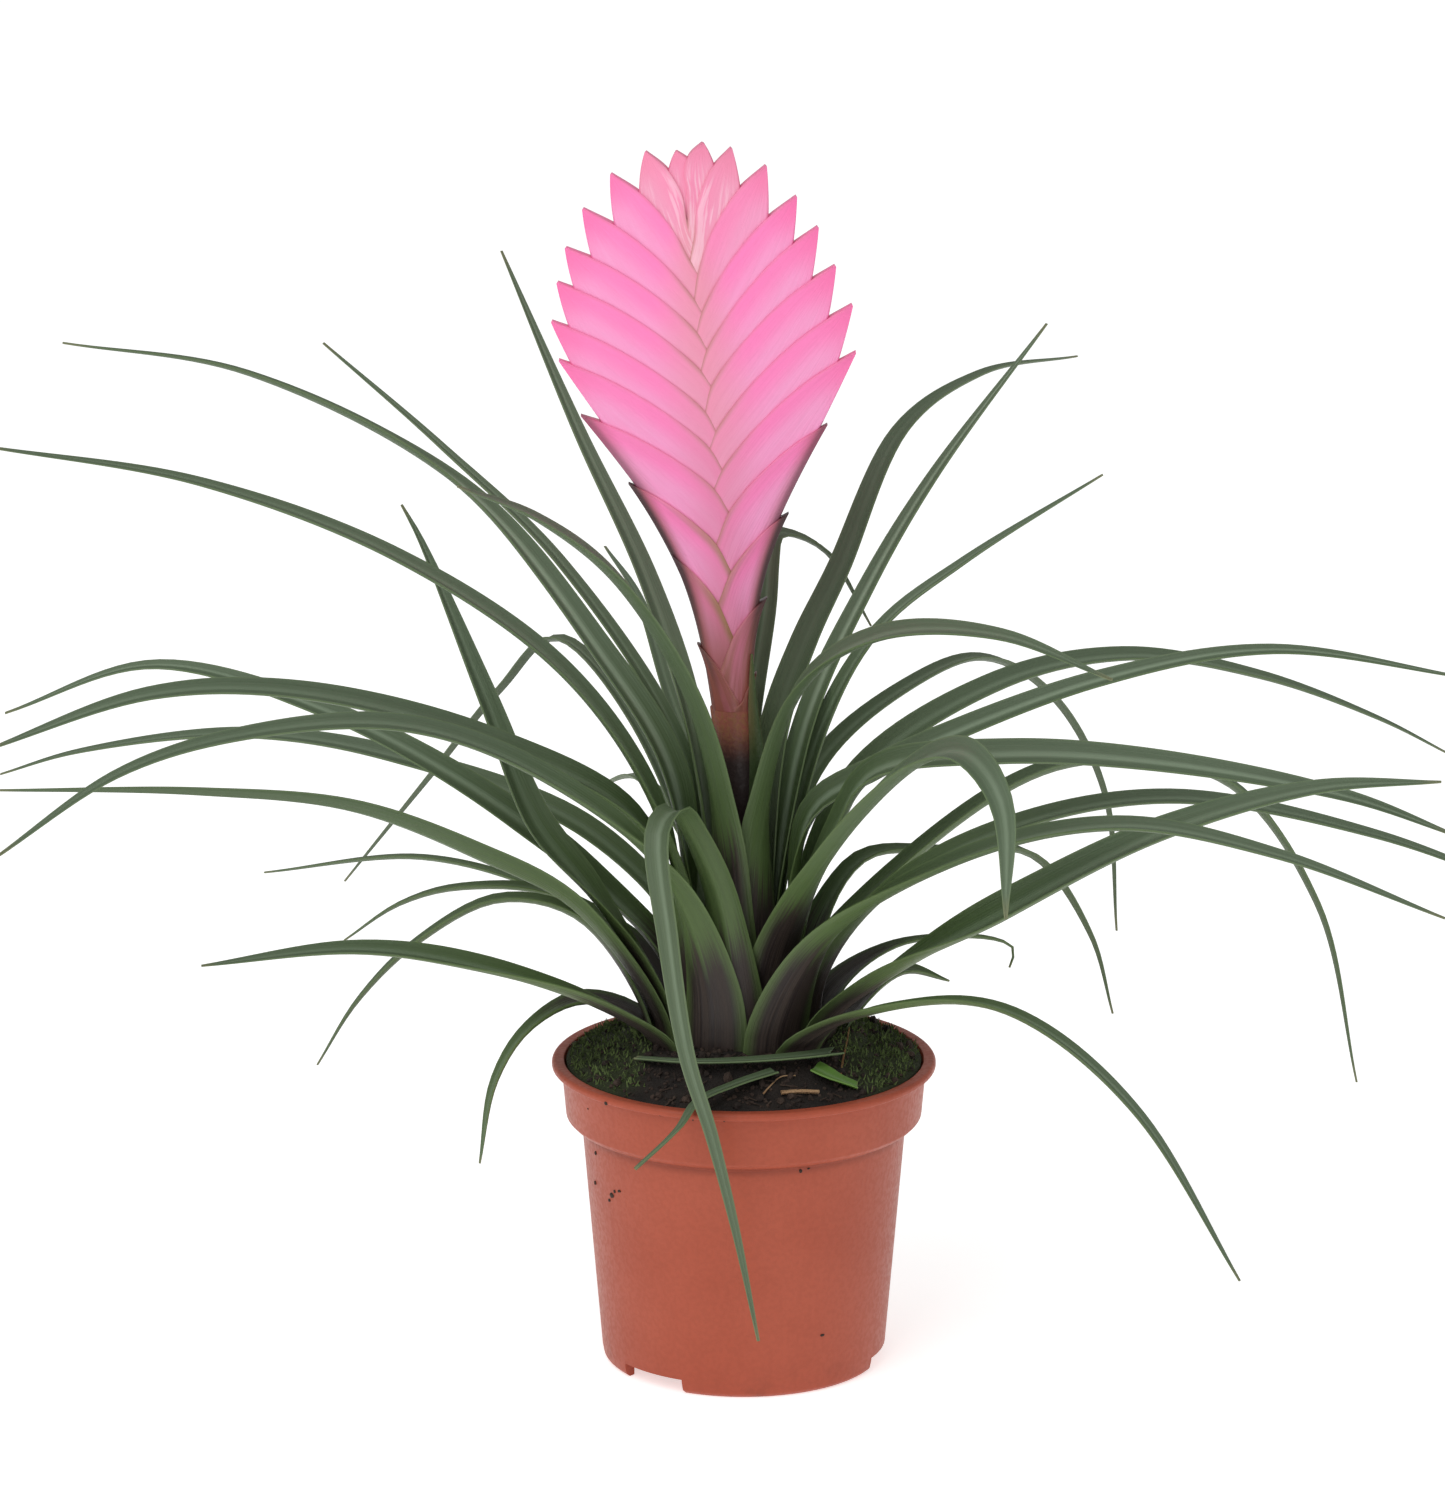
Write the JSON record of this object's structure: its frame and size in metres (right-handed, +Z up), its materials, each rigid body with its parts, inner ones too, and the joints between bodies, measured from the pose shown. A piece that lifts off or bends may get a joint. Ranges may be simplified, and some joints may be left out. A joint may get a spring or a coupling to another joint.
{
  "type": "potted pink quill bromeliad",
  "caption": "Small flowering bromeliad with a flat pink paddle of overlapping bracts over a rosette of narrow arching leaves, standing in a round terracotta-coloured plastic nursery pot.",
  "frame": {"origin": "on the pot's axis at the level that the pot stands on, which is also the middle of the whole plant's bounding box seen from above", "axes": "+Z up the pot's axis, -Y towards the side that the flat face of the flower spike looks to, +X to the right seen from that side"},
  "size_m": [0.3627, 0.2541, 0.2898],
  "materials": {
    "pot": "satin moulded plastic, terracotta orange-brown",
    "soil": "damp dark peat with patches of moss",
    "leaf": "thin channelled leaf, satin, grey-green with a paler scurf",
    "bract": "waxy satin petal-like bract, bright pink with paler centre",
    "stem": "smooth brown-green flower stalk",
    "cut_leaf": "matt cut leaf, dull green"
  },
  "bodies": {
    "root": {"pot": "pot", "soil": "soil", "flower_stem": "stem", "flower_spike": "bract", "leaf_left_long": "leaf", "leaf_left_thin": "leaf", "leaf_front_left": "leaf", "leaf_left_arch": "leaf", "leaf_left_upright": "leaf", "leaf_left_low_a": "leaf", "leaf_left_low_b": "leaf", "leaf_left_low_c": "leaf", "leaf_left_low_d": "leaf", "leaf_left_low_e": "leaf", "leaf_left_wisp": "leaf", "leaf_left_low_f": "leaf", "leaf_left_low_g": "leaf", "leaf_left_low_h": "leaf", "leaf_left_hanging": "leaf", "leaf_back_left_thread": "leaf", "leaf_back_arch": "leaf", "leaf_back_tall": "leaf", "leaf_back_short": "leaf", "leaf_right_tall_a": "leaf", "leaf_right_tall_b": "leaf", "leaf_right_spear": "leaf", "leaf_front_right_arch": "leaf", "leaf_right_hoop": "leaf", "leaf_right_sweep_a": "leaf", "leaf_right_sweep_b": "leaf", "leaf_front_right_folded": "leaf", "leaf_right_low_a": "leaf", "leaf_right_drooping": "leaf", "leaf_right_hook": "leaf", "leaf_right_low_b": "leaf", "leaf_right_low_c": "leaf", "leaf_right_straight": "leaf", "leaf_right_curl": "leaf", "leaf_right_stub": "leaf", "leaf_right_trailing": "leaf", "leaf_front_folded": "leaf", "leaf_back_low_a": "leaf", "leaf_back_low_b": "leaf", "leaf_back_low_c": "leaf", "cut_leaf_on_soil": "cut_leaf", "cut_leaf_over_rim": "cut_leaf", "cut_leaf_stub": "cut_leaf"}
  },
  "joints": []
}
